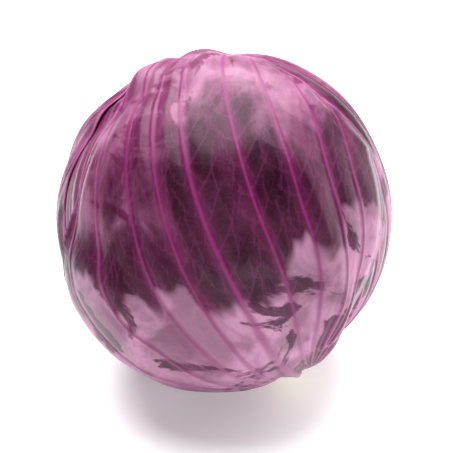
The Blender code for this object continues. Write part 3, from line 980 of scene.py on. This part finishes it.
stump = {
    "radius": 0.0098,
    "cut": head["stumpCut"],
    "top": 0.0470,
    "chamfer": 0.0009,
    "chamferTurns": (15.0, 90.0, 6),  # from, to, and how many rings
    "taper": 0.07,
    "lobes": 5,
    "lobeDepth": 0.035,
    "sides": 200,
    "faceRings": 26,
    "sideRings": 16,
    "sawLines": 0.00006,
    "sawPeriod": 0.00045,
    "dish": 0.0004,
    "flutes": 0.00012,
    "fluteCounts": (31.0, 53.0),
    "bundles": 34,
    "bundleRing": 0.0072,
    "bundleSize": 0.00042,
    "bundleShift": 0.0005,
    "bundleScale": (0.6, 1.25),
    "bundleSunk": 0.0001,
}


def stumpRings():  # (radius, height), from the face's middle up the side to the top's
    face = np.linspace(0.0, 1.0, stump["faceRings"] + 1)[1:] ** 0.8
    flat = stump["radius"] - stump["chamfer"]
    rings = [(flat * share, -stump["cut"]) for share in face]
    for turn in np.radians(np.linspace(*stump["chamferTurns"])):
        across, up = math.sin(turn) * stump["chamfer"], (1.0 - math.cos(turn)) * stump["chamfer"]
        rings.append((flat + across, -stump["cut"] + up))
    low = -stump["cut"] + stump["chamfer"]
    for share in np.linspace(0.0, 1.0, stump["sideRings"] + 1)[1:]:
        radius = stump["radius"] * (1.0 - stump["taper"] * share)
        rings.append((radius, low + share * (-stump["top"] - low)))
    rings += [(stump["radius"] * share, -stump["top"]) for share in (0.6, 0.3)]
    return rings


def stumpObject():
    angle = np.linspace(0.0, 2.0 * math.pi, stump["sides"], endpoint=False)
    lobed = 1.0 + stump["lobeDepth"] * np.cos(stump["lobes"] * angle)
    few, many = stump["fluteCounts"]
    fluting = stump["flutes"] * (np.sin(few * angle) + np.sin(many * angle + 1.0))
    circle = np.array([np.cos(angle), np.sin(angle)])
    points, rings = [], stumpRings()
    for radius, height in rings:
        (x, y), z = radius * lobed * circle, np.full(len(angle), height)
        if height < -stump["cut"] + 1e-6:  # on the cut face: saw lines and a shallow dish
            share = min(radius / stump["radius"], 1.0)
            bow = 0.8 * np.sin(y / 0.003)
            z = z + stump["dish"] * (1.0 - share**2)
            z = z + stump["sawLines"] * np.sin(x / stump["sawPeriod"] + bow)
        else:
            x, y = [x, y] + fluting * circle
        points += np.stack([x, y, z], axis=1).tolist()
    points += [[0.0, 0.0, -stump["cut"] + stump["dish"]], [0.0, 0.0, -stump["top"]]]
    points = np.array(points)
    faces = closedRings(len(rings), stump["sides"])
    place = points + [0.0, 0.0, stump["cut"]]
    return meshObject("stump_fine", points, [], faces, stumpPlace=place, bundle=np.zeros(len(points)))


def bundleTree():
    inputs = {"Count": "Int", "Centre": "Vector", "Turn": "Rotation"}
    inputs.update(dict.fromkeys(("Ring Radius", "Bundle Size"), "Float"))
    graph, given = startTree("bundleRing", inputs)
    sockets = {"Vertices": given["Count"], "Radius": given["Ring Radius"]}
    ring = graph.add("GeometryNodeMeshCircle", sockets)
    shift = stump["bundleShift"]
    sockets = {0: (-shift, -shift, 0.0), 1: (shift, shift, 0.0), "Seed": 5}
    uneven = graph.add("FunctionNodeRandomValue", sockets, data_type="FLOAT_VECTOR")
    ring = graph.add("GeometryNodeSetPosition", {"Geometry": ring, "Offset": uneven})
    sockets = {"Radius": given["Bundle Size"], "Subdivisions": 2}
    bead = graph.add("GeometryNodeMeshIcoSphere", sockets)
    bead = graph.add("GeometryNodeTransform", {"Geometry": bead, "Scale": (1.0, 1.0, 0.35)})
    small, large = stump["bundleScale"]
    sockets = {2: small, 3: large, "Seed": 9}
    size = graph.add("FunctionNodeRandomValue", sockets, out=1, data_type="FLOAT")
    beads = graph.add("GeometryNodeInstanceOnPoints", {"Points": ring, "Instance": bead, "Scale": size})
    beads = graph.store(graph.add("GeometryNodeRealizeInstances", {0: beads}), "bundle", 1.0)
    sockets = {"Geometry": beads, "Translation": given["Centre"], "Rotation": given["Turn"]}
    beads = graph.add("GeometryNodeTransform", sockets)
    joined = graph.add("GeometryNodeJoinGeometry")
    for shape in (given["Geometry"], beads):
        graph.tree.links.new(shape.socket, joined.socket.node.inputs["Geometry"])
    return graph.end(joined, given["Material"])


stumpFinish = {
    "pith": (0.680, 0.590, 0.450, 1.0),
    "wood": (0.780, 0.710, 0.580, 1.0),
    "rind": (0.420, 0.250, 0.300, 1.0),
    "brown": (0.330, 0.200, 0.090, 1.0),
    "vessel": (0.540, 0.430, 0.280, 1.0),
    "cloud": (330.0, 4.0, 0.6),  # noises: scale, detail and roughness
    "fibres": (1500.0, 3.0, 0.6),
    "woodInner": (0.0052, 0.0066),  # radii between which the pith turns to wood, and the wood ends
    "woodOuter": (0.0076, 0.0086),
}


def stumpMaterial():
    finish = stumpFinish
    made, graph = newMaterial("cut_stalk")
    place = graph.attribute("stumpPlace", "Vector")
    parts = graph.add("ShaderNodeSeparateXYZ", {"Vector": place})
    x, y, z = parts, parts["Y"], parts["Z"]
    fromAxis = (x * x + y * y).math("SQRT")
    cloud = graph.noise(place, *finish["cloud"])
    fibres = graph.noise(graph.squeezed(place, (1.0, 1.0, 0.12)), *finish["fibres"])
    ring = fromAxis.ramp(*finish["woodInner"]) * fromAxis.ramp(*finish["woodOuter"], 1.0, 0.0)
    rind = z.ramp(0.0004, 0.0014) * 0.75 + fromAxis.ramp(0.0090, 0.0097) * 0.2
    body = graph.mix(ring * 0.8, finish["pith"], finish["wood"])
    body = graph.mix(fibres.ramp(0.42, 0.7) * 0.35, body, finish["vessel"])
    body = graph.mix(graph.attribute("bundle") * 0.6, body, finish["vessel"])
    body = graph.mix((cloud + fromAxis * 25.0).ramp(0.62, 0.85) * 0.55, body, finish["brown"])
    body = graph.mix(rind, body, finish["rind"])
    height = fibres * 0.5 + cloud * 0.3
    sockets = {
        "Base Color": body,
        "Roughness": 0.42 + cloud * 0.25,
        "Normal": graph.add("ShaderNodeBump", {"Strength": 0.45, "Distance": 0.00025, "Height": height}),
        "Coat Weight": 0.12,
        "Subsurface Weight": 0.1,
        "Subsurface Radius": (0.9, 0.7, 0.4),
        "Subsurface Scale": 0.001,
    }
    endMaterial(graph, sockets)
    return made


def makeStump():
    piece = stumpObject()
    centre = toWorld(np.array([[0.0, 0.0, -stump["cut"] + stump["bundleSunk"]]]))[0]
    turn = Matrix(headAxes.tolist()).transposed().to_euler()
    values = {
        "Count": stump["bundles"],
        "Ring Radius": stump["bundleRing"],
        "Bundle Size": stump["bundleSize"],
        "Centre": centre.tolist(),
        "Turn": list(turn),
        "Material": stumpMaterial(),
    }
    applyTree(piece, bundleTree(), values)
    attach(piece, "root")
    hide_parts("stump")
    print("stump", len(piece.data.polygons), "faces")


makeStump()


# Studio

studio = {
    "floor": 8.0,
    "floorColour": (0.87, 0.87, 0.875, 1.0),
    "floorGlow": 0.3,  # as of a light table, for a pale shadow
    "world": (0.02, 0.3, 1.0, 0.22),  # from which height to which, and the light there
    "lens": 85.0,
    "raise": 30.0,
    "distance": 0.329,
    "aim": (0.0, 0.0, 0.05),
    "aimPixel": (225.0, 221.5),
    "picture": 453.0,
    "lights": {  # kind, place and settings
        "sky": ("SUN", (0.10, 0.42, 1.0), {"energy": 2.5, "angle": math.radians(75.0)}),
        "top softbox": ("AREA", (-0.04, 0.12, 0.46), {"energy": 7.0, "shape": "DISK", "size": 0.60}),
        "side softbox": ("AREA", (0.46, 0.10, 0.24), {"energy": 0.9, "size": 0.3, "size_y": 0.4}),
        "low softbox": ("AREA", (0.10, -0.42, 0.03), {"energy": 0.8, "size": 0.6, "size_y": 0.12}),
    },
}


def aimAt(thing, target):
    away = thing.location - Vector(target)
    thing.rotation_mode = "QUATERNION"
    thing.rotation_quaternion = away.to_track_quat("Z", "Y")


def makeCamera():
    data = bpy.data.cameras.new("camera")
    data.lens = studio["lens"]
    data.sensor_width = 36.0
    data.clip_start = 0.01
    data.shift_x = (studio["picture"] / 2 - studio["aimPixel"][0]) / studio["picture"]
    data.shift_y = (studio["aimPixel"][1] - studio["picture"] / 2) / studio["picture"]
    camera = newObject("camera", data)
    raised = math.radians(studio["raise"])
    away = Vector((0.0, -math.cos(raised), math.sin(raised))) * studio["distance"]
    camera.location = Vector(studio["aim"]) + away
    aimAt(camera, studio["aim"])
    bpy.context.scene.camera = camera


def makeFloor():
    half = studio["floor"] / 2
    corners = [(-half, -half, 0), (half, -half, 0), (half, half, 0), (-half, half, 0)]
    mesh = bpy.data.meshes.new("floor")
    mesh.from_pydata(corners, [], [(0, 1, 2, 3)])
    made, graph = newMaterial("paleFloor")
    sockets = {
        "Base Color": studio["floorColour"],
        "Roughness": 0.6,
        "Emission Color": studio["floorColour"],
        "Emission Strength": studio["floorGlow"],
    }
    endMaterial(graph, sockets)
    mesh.materials.append(made)
    newObject("floor", mesh)


def makeLight(name, kind, place, settings):
    data = bpy.data.lights.new(name, kind)
    if "size_y" in settings:
        data.shape = "RECTANGLE"
    for key, value in settings.items():
        setattr(data, key, value)
    light = newObject(name, data)
    light.location = place
    aimAt(light, studio["aim"] if kind == "AREA" else (0.0, 0.0, 0.0))


def makeRoom():  # a pale horizon that meets the floor, under a darker sky
    world = bpy.data.worlds.new("room")
    world.use_nodes = True
    world.node_tree.nodes.clear()
    graph = Graph(world.node_tree)
    direction = graph.add("ShaderNodeTexCoord", {}, "Generated")
    height = graph.add("ShaderNodeSeparateXYZ", {"Vector": direction}, "Z")
    shade = graph.add("ShaderNodeBackground", {"Strength": height.ramp(*studio["world"])})
    graph.add("ShaderNodeOutputWorld", {"Surface": shade})
    bpy.context.scene.world = world


def makeStudio():
    makeFloor()
    makeRoom()
    for name, light in studio["lights"].items():
        makeLight(name, *light)
    bpy.context.scene.view_settings.view_transform = "Standard"


makeCamera()
makeStudio()
print("studio ready")
